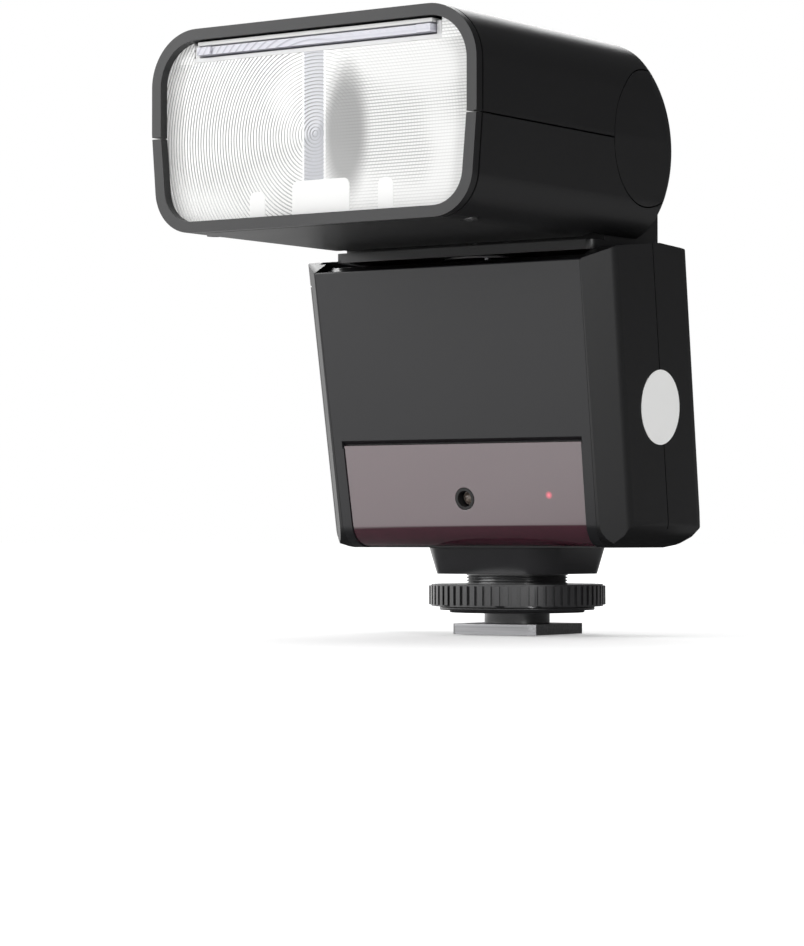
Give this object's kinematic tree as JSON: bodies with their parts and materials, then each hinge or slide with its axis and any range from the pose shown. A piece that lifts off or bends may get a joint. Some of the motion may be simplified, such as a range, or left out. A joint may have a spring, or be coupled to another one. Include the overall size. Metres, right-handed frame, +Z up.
{
  "type": "speedlight flash",
  "caption": "Compact hot shoe speedlight flash with a tilting and swivelling head, zoom lamp, pull-out panel and card, red sensor window and a ribbed lock ring.",
  "frame": {"origin": "centre of the shoe plate, on its sole", "axes": "+Z up, -Y the way the lamp faces, +X to the left seen from the front"},
  "size_m": [0.07, 0.0837, 0.109],
  "materials": {
    "black_plastic": "fine satin grain",
    "front_plate": "smooth semi gloss",
    "foot_plastic": "satin",
    "red_window": "deep red gloss",
    "dark_inner_plastic": "matt",
    "sensor_glass": "clear",
    "lamp_red": "clear red",
    "sticker_white": "paper-like film",
    "screw_black": "blackened",
    "bright_steel": "bright",
    "circuit_board": "green lacquer",
    "capacitor_sleeve": "shrink sleeve",
    "transformer": "tape over ferrite",
    "display_stack": "grey-green panel",
    "display_window": "clear, smoked",
    "button_plastic": "soft matt",
    "test_button": "clear amber",
    "cell_sleeve": "printed film without print",
    "contact_metal": "plated",
    "shoe_metal": "brushed",
    "lens_clear": "clear, grooved",
    "mirror_metal": "bright",
    "tube_glass": "clear",
    "boot_rubber": "silicone",
    "motor_case": "drawn",
    "card_white": "matt white",
    "coil_winding": "lacquered wire"
  },
  "bodies": {
    "body": {"front_cover": "black_plastic", "rear_cover": "black_plastic", "front_plate": "front_plate", "sensor_window": "red_window", "sensor_tube": "dark_inner_plastic", "photo_sensor": "sensor_glass", "focus_lamp": "lamp_red", "quality_sticker": "sticker_white", "body_screws": "screw_black", "main_board": "circuit_board", "flash_capacitor": "capacitor_sleeve", "step_up_transformer": "transformer", "display_module": "display_stack", "display_window": "display_window", "battery_tray": "dark_inner_plastic", "aa_cells": "cell_sleeve", "battery_contacts": "contact_metal", "door_hinge_pin": "bright_steel", "usb_socket": "bright_steel", "foot_block": "black_plastic", "thread_column": "foot_plastic", "shoe_plate": "shoe_metal", "contact_pins": "contact_metal", "foot_screws": "bright_steel", "swivel_post": "bright_steel", "post_clip": "bright_steel", "post_screws": "bright_steel"},
    "clamp": {"clamp_plate": "foot_plastic", "lock_pin": "bright_steel"},
    "ring": {"lock_ring": "foot_plastic"},
    "yoke": {"yoke": "black_plastic", "yoke_back_cover": "black_plastic", "yoke_screws": "screw_black", "detent_plunger": "bright_steel"},
    "head": {"head_upper_shell": "black_plastic", "head_lower_shell": "black_plastic", "side_caps": "black_plastic", "tilt_pins": "bright_steel", "front_lens": "lens_clear", "zoom_motor": "motor_case", "guide_rails": "bright_steel", "card_shelf": "dark_inner_plastic", "head_screws": "screw_black", "trigger_coil": "coil_winding"},
    "lamp": {"zoom_carriage": "dark_inner_plastic", "reflector": "mirror_metal", "flash_tube": "tube_glass", "tube_boots": "boot_rubber"},
    "zoom_screw": {"zoom_screw": "bright_steel"},
    "wide_panel": {"wide_panel": "lens_clear"},
    "bounce_card": {"bounce_card": "card_white"},
    "battery_door": {"battery_door": "black_plastic"},
    "mode_button": {"mode_button": "button_plastic"},
    "wireless_button": {"wireless_button": "button_plastic"},
    "test_button": {"test_button": "test_button"},
    "set_button": {"set_button": "button_plastic"},
    "power_switch": {"power_switch": "button_plastic"},
    "select_dial": {"select_dial": "button_plastic"}
  },
  "joints": [
    {"name": "swivel", "type": "hinge", "parent": "body", "child": "yoke", "pos_m": [0, -0.0094, 0.0705], "axis": [0, 0, 1], "range_deg": [-90, 180]},
    {"name": "tilt", "type": "hinge", "parent": "yoke", "child": "head", "pos_m": [0, -0.0094, 0.091], "axis": [-1, 0, 0], "range_deg": [0, 90]},
    {"name": "zoom", "type": "slide", "parent": "head", "child": "lamp", "axis": [0, 1, 0], "range_m": [0, 0.01]},
    {"name": "zoom_screw_turn", "type": "hinge", "parent": "head", "child": "zoom_screw", "pos_m": [0.022, -0.0463, 0.0778], "axis": [0, -1, 0], "range_deg": [0, 1440]},
    {"name": "wide_panel_slide", "type": "slide", "parent": "head", "child": "wide_panel", "axis": [0, -1, 0], "range_m": [0, 0.028]},
    {"name": "bounce_card_slide", "type": "slide", "parent": "head", "child": "bounce_card", "axis": [0, -1, 0], "range_m": [0, 0.03]},
    {"name": "ring_turn", "type": "hinge", "parent": "clamp", "child": "ring", "pos_m": [0, 0, 0.0074], "axis": [0, 0, 1], "range_deg": [0, 360]},
    {"name": "clamp_lift", "type": "slide", "parent": "body", "child": "clamp", "axis": [0, 0, 1], "range_m": [0, 0.0015]},
    {"name": "battery_door_hinge", "type": "hinge", "parent": "body", "child": "battery_door", "pos_m": [-0.03277, -0.00146, 0.04577], "axis": [0.0227, 0.1478, -0.9888], "range_deg": [0, 75]},
    {"name": "mode_press", "type": "slide", "parent": "body", "child": "mode_button", "axis": [0, -0.9921, -0.1253], "range_m": [0, 0.0005], "stiffness_N_per_m": 500, "springref_m": -0.001},
    {"name": "wireless_press", "type": "slide", "parent": "body", "child": "wireless_button", "axis": [0, -0.9921, -0.1253], "range_m": [0, 0.0005], "stiffness_N_per_m": 500, "springref_m": -0.001},
    {"name": "test_press", "type": "slide", "parent": "body", "child": "test_button", "axis": [0, -0.9921, -0.1253], "range_m": [0, 0.0005], "stiffness_N_per_m": 500, "springref_m": -0.001},
    {"name": "set_press", "type": "slide", "parent": "body", "child": "set_button", "axis": [0, -0.9921, -0.1253], "range_m": [0, 0.0005], "stiffness_N_per_m": 500, "springref_m": -0.001},
    {"name": "power_slide", "type": "slide", "parent": "body", "child": "power_switch", "axis": [-1, 0, 0], "range_m": [0, 0.0028]},
    {"name": "dial_turn", "type": "hinge", "parent": "body", "child": "select_dial", "pos_m": [0, 0.01284, 0.03348], "axis": [0, 0.9921, 0.1253], "continuous": true}
  ],
  "couplings": [
    {"joint": "zoom_screw_turn", "follows": "zoom", "rad_per_m": 2513.3},
    {"joint": "clamp_lift", "follows": "ring_turn", "m_per_rad": 0.00023873}
  ]
}
